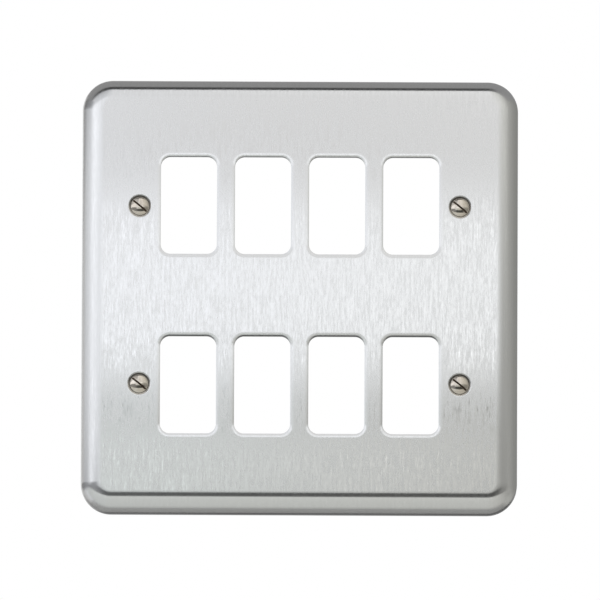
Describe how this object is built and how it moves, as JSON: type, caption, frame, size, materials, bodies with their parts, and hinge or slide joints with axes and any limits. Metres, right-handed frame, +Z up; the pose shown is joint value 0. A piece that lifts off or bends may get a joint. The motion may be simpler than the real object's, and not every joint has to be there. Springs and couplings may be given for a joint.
{
  "type": "grid switch plate",
  "caption": "Square brushed-steel front plate with rolled edges and two rows of upright rounded openings for grid switch modules, with captive slotted screws at the sides.",
  "frame": {"origin": "middle of the plate, on the plane of the wall where the back rim ends", "axes": "+Y from the face towards the wall, +X to the right as seen from the front, +Z up"},
  "size_m": [0.147, 0.0132, 0.147],
  "materials": {
    "brushed_plate": "satin steel, brushed upright",
    "plated_screw": "bright nickel plate",
    "nylon_washer": "natural nylon"
  },
  "bodies": {
    "plate": {"front_plate": "brushed_plate"},
    "screw_top_left": {"fixing_screw_top_left": "plated_screw", "retaining_washer_top_left": "nylon_washer"},
    "screw_top_right": {"fixing_screw_top_right": "plated_screw", "retaining_washer_top_right": "nylon_washer"},
    "screw_bottom_left": {"fixing_screw_bottom_left": "plated_screw", "retaining_washer_bottom_left": "nylon_washer"},
    "screw_bottom_right": {"fixing_screw_bottom_right": "plated_screw", "retaining_washer_bottom_right": "nylon_washer"}
  },
  "joints": [
    {"name": "turn_top_left", "type": "hinge", "parent": "plate", "child": "screw_top_left", "pos_m": [-0.054, 0, 0.03015], "axis": [0, 1, 0], "continuous": true},
    {"name": "turn_top_right", "type": "hinge", "parent": "plate", "child": "screw_top_right", "pos_m": [0.054, 0, 0.03015], "axis": [0, 1, 0], "continuous": true},
    {"name": "turn_bottom_left", "type": "hinge", "parent": "plate", "child": "screw_bottom_left", "pos_m": [-0.054, 0, -0.03015], "axis": [0, 1, 0], "continuous": true},
    {"name": "turn_bottom_right", "type": "hinge", "parent": "plate", "child": "screw_bottom_right", "pos_m": [0.054, 0, -0.03015], "axis": [0, 1, 0], "continuous": true}
  ]
}
